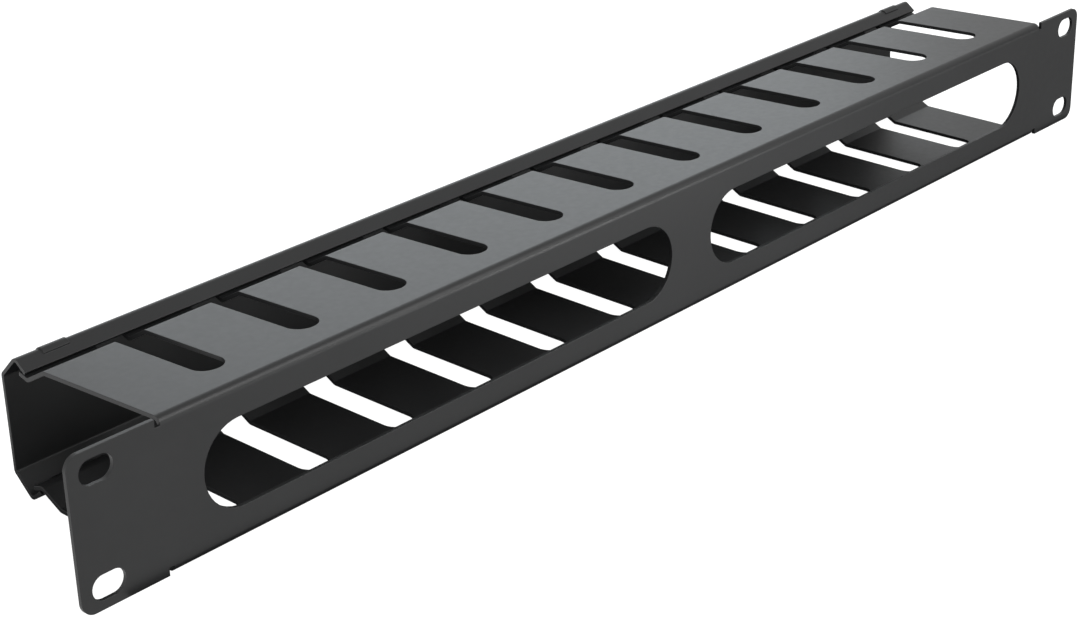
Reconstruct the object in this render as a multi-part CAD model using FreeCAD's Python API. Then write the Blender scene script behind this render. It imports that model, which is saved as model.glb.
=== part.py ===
import FreeCAD, Part
import math
import os

# Horizontal cable manager for a 19 inch rack, one unit high. All sizes are in millimetres.
#
# X runs along the panel, Y runs from the front to the back and Z is up. The origin is the middle of
# the four bolt slots, on the back of the ears, where the panel meets the rack's rails.
# Each fold is described by its outside corners, as a drawing of a folded sheet gives them.

# Front panel
panel_width = 482.6
panel_height = 44.0
panel_sheet = 1.2
panel_corner_radius = 4.0
panel_bend_radius = 1.0

# Ears and their bolt slots
ear_width = 29.0
bolt_slot_length = 10.5
bolt_slot_width = 7.0
bolt_to_side_edge = 8.75
bolt_to_top_edge = 6.125

# Relief notches between the ears and the folded plates
relief_width = 1.7
relief_below_bend = 0.1

# Top and bottom plates of the duct, folded back from the panel
plate_depth = 47.0
plate_lean = 1.5

# Hook groove along the back edge of both plates
groove_depth = 7.5
groove_drop = 4.2
hook_depth = 3.1
hook_rise = 1.0

# Cable slots that part the plates into fingers
cable_slot_width = 10.0
cable_slot_pitch = 33.4
cable_slot_front = 11.0
least_end_finger = 15.0

# Long cable windows in the front
window_height = 25.2
window_bridge = 19.6
window_end_margin = 12.1

# Rear cover
cover_sheet = 1.0
cover_bend_radius = 0.8
clip_clearance = 0.3
lip_behind_groove = 1.2
ridge_behind_hook = 1.6
ridge_above_hook = 3.9
chamfer_depth = 6.95
chamfer_drop = 6.8

# Raised bumps on the cover's ridges
bump_length = 8.5
bump_width = 4.0
bump_height = 0.4
bump_end_margin = 8.0

# Places that follow from the sizes above
duct_length = panel_width - 2 * ear_width
duct_half_height = panel_height / 2
front_y = -panel_sheet
rear_bend_y = front_y + plate_depth
groove_y = rear_bend_y + groove_depth
hook_y = groove_y + hook_depth
rear_bend_z = duct_half_height - plate_depth * math.tan(math.radians(plate_lean))
groove_z = rear_bend_z - groove_drop
hook_z = groove_z + hook_rise


def point(y, z):
    """A point of a section, which lies across the panel's length."""
    return FreeCAD.Vector(0, y, z)


def unit(vector):
    """The same direction with a length of 1."""
    return vector / vector.Length


def left_of(direction):
    """The direction a quarter turn to the left, in the section's plane."""
    return FreeCAD.Vector(0, -direction.z, direction.y)


def mirrored_below(points):
    """The same corners below the middle plane, in the reverse order."""
    return [point(corner.y, -corner.z) for corner in reversed(points)]


def bend(before, corner, after, sheet, bend_radius, offset):
    """Start, middle and end of the arc that rounds one corner, for one face of the sheet.

    The corners lie on the sheet's right-hand face. The offset is 0 for that face, and the sheet's
    thickness for the other one.
    """
    way_in = unit(corner - before)
    way_out = unit(after - corner)
    turn = way_in.getAngle(way_out)
    turns_left = way_in.cross(way_out).x > 0
    side = 1 if turns_left else -1
    radius = bend_radius + sheet if turns_left else bend_radius
    tangent = radius * math.tan(turn / 2)
    centre = corner - way_in * tangent + left_of(way_in) * side * radius
    start = corner - way_in * tangent + left_of(way_in) * offset
    middle = centre + unit(corner - centre) * (radius - side * offset)
    end = corner + way_out * tangent + left_of(way_out) * offset
    return start, middle, end


def face_line(corners, sheet, bend_radius, offset):
    """Edges of one face of the sheet, with the first and the last point."""
    first = corners[0] + left_of(unit(corners[1] - corners[0])) * offset
    last = corners[-1] + left_of(unit(corners[-1] - corners[-2])) * offset
    edges = []
    here = first
    for before, corner, after in zip(corners, corners[1:], corners[2:]):
        start, middle, end = bend(before, corner, after, sheet, bend_radius, offset)
        edges.append(Part.makeLine(here, start))
        edges.append(Part.Arc(start, middle, end).toShape())
        here = end
    edges.append(Part.makeLine(here, last))
    return edges, first, last


def folded_sheet(corners, sheet, bend_radius, length):
    """A sheet folded along the corners and as long as the duct, centred on X = 0."""
    outside, outside_first, outside_last = face_line(corners, sheet, bend_radius, 0)
    inside, inside_first, inside_last = face_line(corners, sheet, bend_radius, sheet)
    ends = [Part.makeLine(outside_first, inside_first), Part.makeLine(outside_last, inside_last)]
    outline = Part.sortEdges(outside + inside + ends)[0]
    section = Part.Face(Part.Wire(outline))
    section.translate(FreeCAD.Vector(-length / 2, 0, 0))
    return section.extrude(FreeCAD.Vector(length, 0, 0))


def obround(length, height, x, z):
    """Cutter through the panel with round ends, long along X and centred on x and z."""
    radius = height / 2
    straight = length - height
    cut_depth = 3 * panel_sheet
    left_end = FreeCAD.Vector(x - straight / 2, front_y - panel_sheet, z)
    right_end = left_end + FreeCAD.Vector(straight, 0, 0)
    corner = left_end - FreeCAD.Vector(0, 0, radius)
    middle = Part.makeBox(straight, cut_depth, height, corner)
    along_y = FreeCAD.Vector(0, 1, 0)
    rounds = [Part.makeCylinder(radius, cut_depth, end, along_y) for end in (left_end, right_end)]
    return middle.fuse(rounds).removeSplitter()


def runs_along_y(edge):
    """True for a straight edge through the panel's thickness."""
    return abs(edge.tangentAt(edge.FirstParameter).y) > 0.999


def flat_panel():
    """The flat front with its rounded corners, cut back where the plates fold from it."""
    corner = FreeCAD.Vector(-panel_width / 2, front_y, -panel_height / 2)
    plate = Part.makeBox(panel_width, panel_sheet, panel_height, corner)
    corner_edges = [edge for edge in plate.Edges if runs_along_y(edge)]
    plate = plate.makeFillet(panel_corner_radius, corner_edges)
    cut_length = duct_length + 2 * relief_width
    flat_half_height = duct_half_height - panel_sheet - panel_bend_radius - relief_below_bend
    for low in (flat_half_height, -flat_half_height - panel_height):
        base = FreeCAD.Vector(-cut_length / 2, front_y - panel_sheet, low)
        plate = plate.cut(Part.makeBox(cut_length, 3 * panel_sheet, panel_height, base))
    return plate


def duct_fold():
    """The panel's middle with both plates and their hook grooves, as one folded strip."""
    top = [
        point(hook_y, hook_z),
        point(groove_y, groove_z),
        point(rear_bend_y, rear_bend_z),
        point(front_y, duct_half_height),
    ]
    return folded_sheet(top + mirrored_below(top), panel_sheet, panel_bend_radius, duct_length)


def windows():
    """Two long windows that share the duct's length, with a bridge between them."""
    length = (duct_length - window_bridge) / 2 - window_end_margin
    middle = (window_bridge + length) / 2
    return [obround(length, window_height, x, 0) for x in (-middle, middle)]


def bolt_slots():
    """Four slots in the ears, long along X."""
    x = panel_width / 2 - bolt_to_side_edge
    z = panel_height / 2 - bolt_to_top_edge
    return [
        obround(bolt_slot_length, bolt_slot_width, side * x, level * z)
        for side in (-1, 1)
        for level in (-1, 1)
    ]


def cable_slots():
    """Slots through both plates, round at the front and open at the back."""
    room = duct_length - 2 * least_end_finger - cable_slot_width
    count = int(room // cable_slot_pitch) + 1
    radius = cable_slot_width / 2
    round_y = front_y + cable_slot_front + radius
    back_y = hook_y + 2 * panel_sheet
    cutters = []
    for number in range(count):
        x = (number - (count - 1) / 2) * cable_slot_pitch
        base = FreeCAD.Vector(x, round_y, -panel_height)
        round_end = Part.makeCylinder(radius, 2 * panel_height, base)
        corner = base - FreeCAD.Vector(radius, 0, 0)
        straight = Part.makeBox(cable_slot_width, back_y - round_y, 2 * panel_height, corner)
        cutters.append(round_end.fuse(straight).removeSplitter())
    return cutters


def front_panel():
    """The whole front sheet, with its windows, bolt slots and cable slots."""
    sheet = flat_panel().fuse(duct_fold()).removeSplitter()
    sheet = sheet.cut(windows() + bolt_slots() + cable_slots())
    return sheet.removeSplitter()


def lip_end(ridge):
    """Outside corner of the lip's end, so that its inside corner hooks into the groove.

    The inside corner lies just above the groove's rear wall, and just below the hook's tip.
    """
    wall = unit(point(hook_y, hook_z) - point(groove_y, groove_z))
    foot = point(groove_y, groove_z) + wall * lip_behind_groove
    inside_corner = foot + left_of(wall) * clip_clearance
    span = inside_corner - ridge
    length = math.sqrt(span.Length**2 - cover_sheet**2)
    way = (span * length - left_of(span) * cover_sheet) / span.Length**2
    return ridge + way * length


def bumped(cover, side, level, ridge):
    """Presses a short piece of one ridge outwards, without parting it from the sheet."""
    x = side * (duct_length / 2 - bump_end_margin - bump_length / 2)
    reach = cover_sheet + cover_bend_radius + bump_width
    middle = FreeCAD.Vector(x, ridge.y, level * ridge.z)
    corner = middle - FreeCAD.Vector(bump_length / 2, bump_width / 2, reach)
    zone = Part.makeBox(bump_length, bump_width, 2 * reach, corner)
    piece = cover.common(zone)
    rest = cover.cut(zone)
    piece.translate(FreeCAD.Vector(0, 0, level * bump_height))
    return rest.fuse(piece)


def rear_cover():
    """The clip-on cover: a flat back, two chamfers, and two ridges with lips."""
    ridge = point(hook_y + ridge_behind_hook, hook_z + ridge_above_hook)
    back_edge = point(ridge.y + chamfer_depth, ridge.z - chamfer_drop)
    top = [back_edge, ridge, lip_end(ridge)]
    cover = folded_sheet(mirrored_below(top) + top, cover_sheet, cover_bend_radius, duct_length)
    for side in (-1, 1):
        for level in (-1, 1):
            cover = bumped(cover, side, level, ridge)
    return cover.removeSplitter()


os.makedirs("parts", exist_ok=True)
for name, shape in (("front_panel", front_panel()), ("rear_cover", rear_cover())):
    solid = shape.Solids[0]
    solid.exportStep(f"parts/{name}.step")
    print(name, len(shape.Solids), "solid,", round(solid.Volume), "cubic mm, valid", solid.isValid())
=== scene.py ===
import math
from typing import NamedTuple

import bpy
from bpy.props import FloatProperty, FloatVectorProperty, PointerProperty
from bpy.types import Operator, Panel, PropertyGroup
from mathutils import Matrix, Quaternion, Vector


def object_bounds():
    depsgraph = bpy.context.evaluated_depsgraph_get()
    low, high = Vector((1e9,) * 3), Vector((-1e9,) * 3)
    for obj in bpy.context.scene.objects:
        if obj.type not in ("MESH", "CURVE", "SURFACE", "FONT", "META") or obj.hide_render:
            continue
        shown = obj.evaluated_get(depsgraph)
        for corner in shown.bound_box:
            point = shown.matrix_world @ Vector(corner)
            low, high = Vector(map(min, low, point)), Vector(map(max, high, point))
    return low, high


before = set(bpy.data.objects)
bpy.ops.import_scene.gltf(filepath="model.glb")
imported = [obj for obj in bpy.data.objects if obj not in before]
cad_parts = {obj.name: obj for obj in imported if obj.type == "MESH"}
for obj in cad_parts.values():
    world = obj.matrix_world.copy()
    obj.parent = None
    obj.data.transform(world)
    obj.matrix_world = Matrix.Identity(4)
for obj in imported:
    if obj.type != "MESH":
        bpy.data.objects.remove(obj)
cad_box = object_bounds()

bl_info = {
    "name": "Horizontal cable manager",
    "version": (1, 0, 0),
    "blender": (4, 5, 0),
    "location": "3D View > Sidebar > Cable manager",
    "description": "Coats a slotted rack panel and its rear cover, and sets up a studio round them",
    "category": "Object",
}


class CoatSettings(PropertyGroup):
    """Colours, roughness and texture of the powder coat on both sheets"""

    colour: FloatVectorProperty(
        name="Coat colour",
        description="Colour of the black powder coat where it lies thick",
        subtype="COLOR",
        size=4,
        min=0.0,
        max=1.0,
        default=(0.0060, 0.0062, 0.0064, 1.0),
    )
    # Lighter along cut edges: partly the thinner coat there, partly a painted highlight on the edges
    thin_coat_and_highlight_colour: FloatVectorProperty(
        name="Thin coat and highlight colour",
        description="Colour of the coat along cut edges, where it lies thinnest",
        subtype="COLOR",
        size=4,
        min=0.0,
        max=1.0,
        default=(0.021, 0.022, 0.023, 1.0),
    )
    smooth_roughness: FloatProperty(
        name="Roughness of the smoothest spots",
        description="Roughness on top of the coat's low waves",
        min=0.0,
        max=1.0,
        default=0.415,
    )
    dull_roughness: FloatProperty(
        name="Roughness of the dullest spots",
        description="Roughness between the coat's low waves",
        min=0.0,
        max=1.0,
        default=0.445,
    )
    wave_width: FloatProperty(
        name="Width of the waves",
        description="Width of the low waves that a baked powder coat settles into",
        subtype="DISTANCE",
        unit="LENGTH",
        min=0.0002,
        max=0.01,
        default=0.0022,
    )
    grain_width: FloatProperty(
        name="Width of the grain",
        description="Width of the fine grain on the waves",
        subtype="DISTANCE",
        unit="LENGTH",
        min=0.0001,
        max=0.005,
        default=0.0005,
    )
    edge_radius: FloatProperty(
        name="Edge radius",
        description="Radius to which the coat rounds every cut edge",
        subtype="DISTANCE",
        unit="LENGTH",
        min=0.0,
        max=0.002,
        default=0.00025,
    )


class StudioSettings(PropertyGroup):
    """Floor, black mat of painted contact shadow, light and camera"""

    floor_colour: FloatVectorProperty(
        name="Floor colour",
        description="Colour of the plain pale floor, on top of its glow",
        subtype="COLOR",
        size=4,
        min=0.0,
        max=1.0,
        default=(0.18, 0.18, 0.18, 1.0),
    )
    floor_glow: FloatProperty(
        name="Floor glow",
        description="Light that the floor gives off by itself, as a light table does",
        min=0.0,
        max=2.0,
        default=1.0,
    )
    floor_width: FloatProperty(
        name="Floor width",
        description="Width of the square floor",
        subtype="DISTANCE",
        unit="LENGTH",
        min=1.0,
        max=40.0,
        default=16.0,
    )
    # The black mat is painted contact shadow: a dark sheet under the panel, where a real floor would lie
    # in shade
    painted_shadow_front: FloatProperty(
        name="Mat in front",
        description="How far the black mat reaches in front of the panel",
        subtype="DISTANCE",
        unit="LENGTH",
        default=0.0045,
    )
    painted_shadow_rear: FloatProperty(
        name="Mat behind",
        description="How far the black mat reaches behind the cover",
        subtype="DISTANCE",
        unit="LENGTH",
        default=0.03,
    )
    painted_shadow_left: FloatProperty(
        name="Mat's left end",
        description="How far inside the panel's left end the black mat begins",
        subtype="DISTANCE",
        unit="LENGTH",
        default=0.015,
    )
    painted_shadow_right: FloatProperty(
        name="Mat's right end",
        description="How far the black mat reaches past the panel's right end",
        subtype="DISTANCE",
        unit="LENGTH",
        default=0.06,
    )
    sky_strength: FloatProperty(
        name="Sky strength",
        description="Brightness of the light tent above the horizon, except low at the front right",
        min=0.0,
        max=5.0,
        default=1.02,
    )
    sky_shade: FloatProperty(
        name="Sky shade",
        description="Brightness to which the tent fades above the horizon, low at the front right",
        min=0.0,
        max=5.0,
        default=0.25,
    )
    ground_strength: FloatProperty(
        name="Ground strength",
        description="Brightness of the tent below the horizon, where only mirrored light shows it",
        min=0.0,
        max=5.0,
        default=2.7,
    )
    ground_shade: FloatProperty(
        name="Ground shade",
        description="Brightness to which the tent fades below the horizon on the right",
        min=0.0,
        max=5.0,
        default=0.05,
    )
    ground_left: FloatProperty(
        name="Ground's left",
        description="Share of the brightness below the horizon that the tent's middle and left side give",
        subtype="FACTOR",
        min=0.0,
        max=1.0,
        default=0.5,
    )
    rear_light_watts: FloatProperty(
        name="Rear light power",
        description="Power of the softbox behind the panel, which the top plate mirrors",
        min=0.0,
        max=2000.0,
        default=0.88,
    )
    front_light_watts: FloatProperty(
        name="Front light power",
        description="Power of the softbox in front of the panel, which the top fold mirrors",
        min=0.0,
        max=2000.0,
        default=4.8,
    )
    left_light_watts: FloatProperty(
        name="Left light power",
        description="Power of the softbox to the left of the panel",
        min=0.0,
        max=2000.0,
        default=2.0,
    )
    bridge_light_watts: FloatProperty(
        name="Bridge light power",
        description="Power of the small softbox close to the bridge between the windows",
        min=0.0,
        max=2000.0,
        default=0.20,
    )
    camera_azimuth: FloatProperty(
        name="Camera azimuth",
        description="Turn of the camera round the panel, from straight in front",
        subtype="ANGLE",
        unit="ROTATION",
        default=math.radians(-47.911),
    )
    camera_elevation: FloatProperty(
        name="Camera elevation",
        description="Height of the camera above the horizon",
        subtype="ANGLE",
        unit="ROTATION",
        default=math.radians(23.555),
    )
    camera_roll: FloatProperty(
        name="Camera roll",
        description="Tilt of the camera, clockwise",
        subtype="ANGLE",
        unit="ROTATION",
        default=math.radians(1.611),
    )
    camera_distance: FloatProperty(
        name="Camera distance",
        description="Distance from the camera to the point that it looks at",
        subtype="DISTANCE",
        unit="LENGTH",
        default=0.7168,
    )
    camera_target: FloatVectorProperty(
        name="Camera target",
        description="Point that the camera looks at",
        subtype="XYZ",
        unit="LENGTH",
        size=3,
        default=(-0.0242, 0.04196, -0.02589),
    )
    camera_lens: FloatProperty(
        name="Camera lens",
        description="Focal length in millimetres, for a sensor 36 millimetres wide",
        min=10.0,
        max=300.0,
        default=73.847,
    )


class Softbox(NamedTuple):
    """A rectangular soft light: its place, the point that it faces, its size and its colour."""

    place: tuple
    aim: tuple
    width: float
    height: float
    colour: tuple


# Powder coat: spots of drift per metre, how far drift goes towards the thin coat and highlight colour,
# and the bumps
DRIFT_SCALE = 22.0
DRIFT_SHARE = 0.12
WAVE_STRENGTH = 0.03
WAVE_HEIGHT = 0.00006
GRAIN_STRENGTH = 0.10
GRAIN_HEIGHT = 0.00002
COAT_IOR = 1.5
COAT_SPECULAR = 0.30

# Most values of a noise lie between these two
NOISE_SPAN = (0.3, 0.7)

# How well the rounded edge agrees with the flat face, where the coat is thick and where it is thin and
# painted lighter as an edge highlight
EDGE_SPAN = (0.99, 0.80)
EDGE_SAMPLES = 6

# Floor and the black mat of painted contact shadow, with the mat's depth under the floor in metres
FLOOR_ROUGHNESS = 0.9
FLOOR_SPECULAR = 0.1
MOTTLE_SCALE = 3.0
MOTTLE_SHADE = 0.98
MAT_DEPTH = 0.0005
PAINTED_SHADOW_COLOUR = (0.01, 0.01, 0.01, 1.0)

# Directions in the light tent
UP = Vector((0.0, 0.0, 1.0))
LEFT = Vector((-1.0, 0.0, 0.0))
FRONT_RIGHT = Vector((0.62, -0.56, -0.55))
UNDER_RIGHT = Vector((0.80, 0.05, -0.60))

# Where the tent's light begins and stops to change, as cosines of the angle from a direction
UP_SPAN = (-0.06, 0.02)
LEFT_SPAN = (-0.80, -0.10)
FRONT_RIGHT_SPAN = (0.35, 0.85)
UNDER_RIGHT_SPAN = (0.64, 0.83)

# Softboxes, in metres
WHITE = (1.0, 1.0, 1.0)
COOL_WHITE = (0.87, 0.95, 1.0)
REAR_LIGHT = Softbox((0.376, 0.487, 0.25), (0.0, 0.02, 0.02), 0.56, 0.22, COOL_WHITE)
FRONT_LIGHT = Softbox((0.25, -0.66, 0.50), (-0.19, 0.0, 0.02), 0.45, 0.46, WHITE)
LEFT_LIGHT = Softbox((-0.85, 0.10, 0.30), (-0.15, 0.0, 0.0), 0.5, 0.4, WHITE)
BRIDGE_LIGHT = Softbox((0.10, -0.18, 0.02), (0.0, 0.0, 0.0), 0.12, 0.05, WHITE)

# Nearest thing that the camera shows, in metres
CLIP_START = 0.01

# Room for one shader node in the node editor
COLUMN_WIDTH = 220
ROW_HEIGHT = 260


def add_node(tree, kind, label, column, row):
    """A shader node in a tidy place, counted in columns and rows."""
    node = tree.nodes.new(kind)
    node.label = label
    node.location = (column * COLUMN_WIDTH, -row * ROW_HEIGHT)
    return node


def map_range(tree, label, value, span, results, column, row):
    """A node that turns a value within the span into one between the two results."""
    node = add_node(tree, "ShaderNodeMapRange", label, column, row)
    for socket, number in zip(("From Min", "From Max", "To Min", "To Max"), (*span, *results)):
        node.inputs[socket].default_value = number
    tree.links.new(value, node.inputs["Value"])
    return node


def coat_noise(tree, place, label, scale, detail, row):
    """Noise that keeps its place on the sheet, with so many spots per metre."""
    noise = add_node(tree, "ShaderNodeTexNoise", label, 1, row)
    noise.inputs["Scale"].default_value = scale
    noise.inputs["Detail"].default_value = detail
    tree.links.new(place, noise.inputs["Vector"])
    return noise.outputs["Fac"]


def edge_thinness_and_highlight(tree, rounded):
    """How thin the coat lies, from 0 on a flat face to 1 on a cut edge, which is also where the painted
    edge highlight goes.
    """
    face = add_node(tree, "ShaderNodeNewGeometry", "Face as modelled", 2, 5)
    agree = add_node(tree, "ShaderNodeVectorMath", "How flat the spot is", 3, 5)
    agree.operation = "DOT_PRODUCT"
    tree.links.new(rounded, agree.inputs[0])
    tree.links.new(face.outputs["Normal"], agree.inputs[1])
    flatness = agree.outputs["Value"]
    return map_range(tree, "Thin coat and painted highlight on the edges", flatness, EDGE_SPAN, (0.0, 1.0), 4, 5).outputs["Result"]


def coat_colour(tree, settings, drift, thinness_and_highlight):
    """The coat's colour, which is lighter where the coat lies thin, as a painted highlight along the
    edges.
    """
    drifting = map_range(tree, "Drift of the colour", drift, NOISE_SPAN, (0.0, DRIFT_SHARE), 2, 0)
    most = add_node(tree, "ShaderNodeMath", "Thinner of the two", 4, 0)
    most.operation = "MAXIMUM"
    tree.links.new(drifting.outputs["Result"], most.inputs[0])
    tree.links.new(thinness_and_highlight, most.inputs[1])
    colour = add_node(tree, "ShaderNodeMix", "Coat colour", 5, 0)
    colour.data_type = "RGBA"
    colour.inputs["A"].default_value = settings.colour
    colour.inputs["B"].default_value = settings.thin_coat_and_highlight_colour
    tree.links.new(most.outputs["Value"], colour.inputs["Factor"])
    return colour.outputs["Result"]


def bumped(tree, label, height, normal, strength, distance, column):
    """The normal, tipped by heights in the coat's surface."""
    bump = add_node(tree, "ShaderNodeBump", label, column, 3)
    bump.inputs["Strength"].default_value = strength
    bump.inputs["Distance"].default_value = distance
    tree.links.new(height, bump.inputs["Height"])
    tree.links.new(normal, bump.inputs["Normal"])
    return bump.outputs["Normal"]


def powder_coat(name, settings):
    """Satin black powder coat: low waves, fine grain, and a thinner coat on the edges, painted lighter as
    an edge highlight.
    """
    material = bpy.data.materials.new(name)
    material.use_nodes = True
    tree = material.node_tree
    tree.nodes.clear()
    place = add_node(tree, "ShaderNodeTexCoord", "Place on the sheet", 0, 1).outputs["Object"]
    drift = coat_noise(tree, place, "Slow drift of the thickness", DRIFT_SCALE, detail=3.0, row=0)
    waves = coat_noise(tree, place, "Low waves", 1 / settings.wave_width, detail=2.0, row=2)
    grain = coat_noise(tree, place, "Fine grain", 1 / settings.grain_width, detail=1.0, row=3)

    edges = add_node(tree, "ShaderNodeBevel", "Edges rounded by the coat", 2, 4)
    edges.samples = EDGE_SAMPLES
    edges.inputs["Radius"].default_value = settings.edge_radius
    rounded = edges.outputs["Normal"]
    colour = coat_colour(tree, settings, drift, edge_thinness_and_highlight(tree, rounded))

    dull_to_smooth = (settings.dull_roughness, settings.smooth_roughness)
    sheen = map_range(tree, "Duller between the waves", waves, NOISE_SPAN, dull_to_smooth, 3, 2)
    wavy = bumped(tree, "Waves in the surface", waves, rounded, WAVE_STRENGTH, WAVE_HEIGHT, 4)
    grainy = bumped(tree, "Grain in the surface", grain, wavy, GRAIN_STRENGTH, GRAIN_HEIGHT, 5)

    shader = add_node(tree, "ShaderNodeBsdfPrincipled", "Powder coat", 6, 1)
    shader.inputs["IOR"].default_value = COAT_IOR
    shader.inputs["Specular IOR Level"].default_value = COAT_SPECULAR
    tree.links.new(colour, shader.inputs["Base Color"])
    tree.links.new(sheen.outputs["Result"], shader.inputs["Roughness"])
    tree.links.new(grainy, shader.inputs["Normal"])
    output = add_node(tree, "ShaderNodeOutputMaterial", "Output", 7, 1)
    tree.links.new(shader.outputs["BSDF"], output.inputs["Surface"])
    return material


def coat_node(name, settings):
    """Gives one sheet of the frame its coat."""
    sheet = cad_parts.get(name)
    if sheet is None:
        raise RuntimeError(f"The frame has no sheet called {name}")
    material = powder_coat(f"{name}_coat", settings)
    for slot in sheet.material_slots:
        slot.material = material


class MANAGER_OT_coat_front_panel(Operator):
    """Coats the folded front panel, with its ears, windows and slotted plates"""

    bl_idname = "cable_manager.coat_front_panel"
    bl_label = "Coat the front panel"

    def execute(self, context):
        coat_node("front_panel", context.scene.manager_coat)
        return {"FINISHED"}


class MANAGER_OT_coat_rear_cover(Operator):
    """Coats the clip-on rear cover"""

    bl_idname = "cable_manager.coat_rear_cover"
    bl_label = "Coat the rear cover"

    def execute(self, context):
        coat_node("rear_cover", context.scene.manager_coat)
        return {"FINISHED"}


def pale_floor(settings):
    """A wide floor that the panel's ears stand on, which shows white and isn't mirrored."""
    bpy.ops.object.select_all(action="DESELECT")
    bpy.ops.mesh.primitive_plane_add(size=settings.floor_width, location=(0, 0, cad_box[0].z))
    floor = bpy.context.object
    floor.name = "studio_floor"
    floor.visible_glossy = False
    bpy.ops.object.transform_apply(location=True, rotation=False, scale=False)
    material = bpy.data.materials.new("pale_floor")
    material.use_nodes = True
    tree = material.node_tree
    shader = tree.nodes["Principled BSDF"]
    shader.inputs["Roughness"].default_value = FLOOR_ROUGHNESS
    shader.inputs["Specular IOR Level"].default_value = FLOOR_SPECULAR
    shader.inputs["Emission Color"].default_value = (*WHITE, 1.0)
    shader.inputs["Emission Strength"].default_value = settings.floor_glow
    place = add_node(tree, "ShaderNodeTexCoord", "Place on the floor", -4, 0)
    mottle = add_node(tree, "ShaderNodeTexNoise", "Faint mottle", -3, 0)
    mottle.inputs["Scale"].default_value = MOTTLE_SCALE
    colour = add_node(tree, "ShaderNodeMix", "Floor colour", -2, 0)
    colour.data_type = "RGBA"
    colour.inputs["A"].default_value = settings.floor_colour
    colour.inputs["B"].default_value = (*(MOTTLE_SHADE * part for part in settings.floor_colour[:3]), 1.0)
    tree.links.new(place.outputs["Object"], mottle.inputs["Vector"])
    tree.links.new(mottle.outputs["Fac"], colour.inputs["Factor"])
    tree.links.new(colour.outputs["Result"], shader.inputs["Base Color"])
    floor.data.materials.append(material)


def lay_painted_shadow(settings):
    """A black mat just under the floor, which only mirrored light shows: a painted contact shadow under
    the panel.
    """
    bpy.ops.object.select_all(action="DESELECT")
    low, high = cad_box
    front, rear = low.y - settings.painted_shadow_front, high.y + settings.painted_shadow_rear
    left, right = low.x + settings.painted_shadow_left, high.x + settings.painted_shadow_right
    middle = ((left + right) / 2, (front + rear) / 2, low.z - MAT_DEPTH)
    bpy.ops.mesh.primitive_plane_add(size=1.0, location=middle)
    mat = bpy.context.object
    mat.name = "painted_shadow_mat"
    mat.scale = (right - left, rear - front, 1.0)
    bpy.ops.object.transform_apply(location=True, rotation=False, scale=True)
    mat.visible_camera = False
    mat.visible_shadow = False
    material = bpy.data.materials.new("painted_shadow_black")
    material.use_nodes = True
    shader = material.node_tree.nodes["Principled BSDF"]
    # Black of the painted contact shadow
    shader.inputs["Base Color"].default_value = PAINTED_SHADOW_COLOUR
    shader.inputs["Roughness"].default_value = 1.0
    shader.inputs["Specular IOR Level"].default_value = 0.0
    mat.data.materials.append(material)


def fading(tree, direction, way, span, strengths, label, row):
    """A strength that goes from the first to the second as the direction turns the given way."""
    toward = add_node(tree, "ShaderNodeVectorMath", f"How far {label}", -3, row)
    toward.operation = "DOT_PRODUCT"
    toward.inputs[1].default_value = way
    tree.links.new(direction, toward.inputs[0])
    strength = map_range(tree, f"Change {label}", toward.outputs["Value"], span, strengths, -2, row)
    strength.interpolation_type = "SMOOTHSTEP"
    return strength.outputs["Result"]


def light_tent(settings):
    """White light from all round: a sky and a ground, each weaker on some of its sides."""
    world = bpy.data.worlds.new("studio_tent")
    world.use_nodes = True
    tree = world.node_tree
    direction = add_node(tree, "ShaderNodeTexCoord", "Direction in the tent", -4, 0).outputs["Generated"]
    sky = (settings.sky_strength, settings.sky_shade)
    ground = (settings.ground_strength, settings.ground_shade)
    share = (1.0, settings.ground_left)
    above = fading(tree, direction, FRONT_RIGHT, FRONT_RIGHT_SPAN, sky, "to the front right", 0)
    below = fading(tree, direction, UNDER_RIGHT, UNDER_RIGHT_SPAN, ground, "down to the right", 1)
    left = fading(tree, direction, LEFT, LEFT_SPAN, share, "to the left", 2)
    level = fading(tree, direction, UP, UP_SPAN, (0.0, 1.0), "upwards", 3)
    weaker = add_node(tree, "ShaderNodeMath", "Weaker on the left", -1, 1)
    weaker.operation = "MULTIPLY"
    tree.links.new(below, weaker.inputs[0])
    tree.links.new(left, weaker.inputs[1])
    strength = add_node(tree, "ShaderNodeMix", "Ground or sky", 0, 1)
    strength.data_type = "FLOAT"
    tree.links.new(level, strength.inputs["Factor"])
    tree.links.new(weaker.outputs["Value"], strength.inputs["A"])
    tree.links.new(above, strength.inputs["B"])
    background = tree.nodes["Background"]
    background.inputs["Color"].default_value = (*WHITE, 1.0)
    tree.links.new(strength.outputs["Result"], background.inputs["Strength"])
    bpy.context.scene.world = world


def hang_softbox(name, softbox, watts):
    """Hangs one softbox in its place, turned to the point that it faces."""
    light = bpy.data.lights.new(name, "AREA")
    light.shape = "RECTANGLE"
    light.size = softbox.width
    light.size_y = softbox.height
    light.energy = watts
    light.color = softbox.colour
    lamp = bpy.data.objects.new(name, light)
    lamp.location = softbox.place
    lamp.visible_camera = False
    back = Vector(softbox.place) - Vector(softbox.aim)
    lamp.rotation_euler = back.to_track_quat("Z", "Y").to_euler()
    bpy.context.scene.collection.objects.link(lamp)


def photo_camera(settings):
    """The camera, placed by its turn, height and roll round the target."""
    azimuth, elevation = settings.camera_azimuth, settings.camera_elevation
    back = Vector((
        math.sin(azimuth) * math.cos(elevation),
        -math.cos(azimuth) * math.cos(elevation),
        math.sin(elevation),
    ))
    camera = bpy.data.cameras.new("camera")
    camera.lens = settings.camera_lens
    camera.clip_start = CLIP_START
    viewer = bpy.data.objects.new("camera", camera)
    viewer.location = Vector(settings.camera_target) + back * settings.camera_distance
    clockwise = Quaternion(UP, -settings.camera_roll)
    viewer.rotation_euler = (back.to_track_quat("Z", "Y") @ clockwise).to_euler()
    bpy.context.scene.collection.objects.link(viewer)
    bpy.context.scene.camera = viewer


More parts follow.
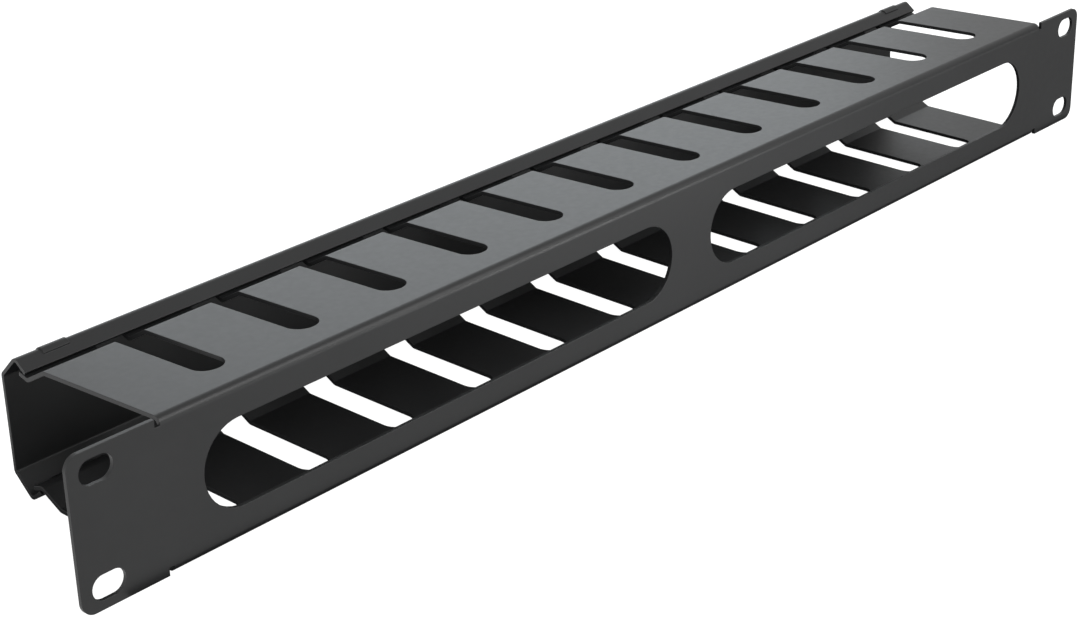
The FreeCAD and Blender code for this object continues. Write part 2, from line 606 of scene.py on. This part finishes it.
class MANAGER_OT_studio(Operator):
    """Sets up the pale floor, the soft light and the camera"""

    bl_idname = "cable_manager.studio"
    bl_label = "Set up the studio"

    def execute(self, context):
        settings = context.scene.manager_studio
        context.scene.view_settings.view_transform = "Standard"
        pale_floor(settings)
        lay_painted_shadow(settings)
        light_tent(settings)
        hang_softbox("rear_light", REAR_LIGHT, settings.rear_light_watts)
        hang_softbox("front_light", FRONT_LIGHT, settings.front_light_watts)
        hang_softbox("left_light", LEFT_LIGHT, settings.left_light_watts)
        hang_softbox("bridge_light", BRIDGE_LIGHT, settings.bridge_light_watts)
        photo_camera(settings)
        return {"FINISHED"}


class MANAGER_PT_sidebar(Panel):
    """Steps and settings of the cable manager"""

    bl_idname = "MANAGER_PT_sidebar"
    bl_label = "Cable manager"
    bl_space_type = "VIEW_3D"
    bl_region_type = "UI"
    bl_category = "Cable manager"

    def draw(self, context):
        layout = self.layout
        for settings in (context.scene.manager_coat, context.scene.manager_studio):
            for name in settings.bl_rna.properties.keys():
                if name not in ("rna_type", "name"):
                    layout.prop(settings, name)
        for step in STEPS:
            layout.operator(step.bl_idname)


SETTINGS = (CoatSettings, StudioSettings)
STEPS = (MANAGER_OT_coat_front_panel, MANAGER_OT_coat_rear_cover, MANAGER_OT_studio)


def register():
    """Makes the settings, the steps and the sidebar known to Blender."""
    for kind in (*SETTINGS, *STEPS, MANAGER_PT_sidebar):
        bpy.utils.register_class(kind)
    bpy.types.Scene.manager_coat = PointerProperty(type=CoatSettings)
    bpy.types.Scene.manager_studio = PointerProperty(type=StudioSettings)


def unregister():
    """Takes them away again, in the reverse order."""
    del bpy.types.Scene.manager_studio
    del bpy.types.Scene.manager_coat
    for kind in (MANAGER_PT_sidebar, *reversed(STEPS), *reversed(SETTINGS)):
        bpy.utils.unregister_class(kind)


def main():
    """Runs every step in order."""
    register()
    bpy.ops.cable_manager.coat_front_panel()
    bpy.ops.cable_manager.coat_rear_cover()
    bpy.ops.cable_manager.studio()


if __name__ == "__main__":
    main()
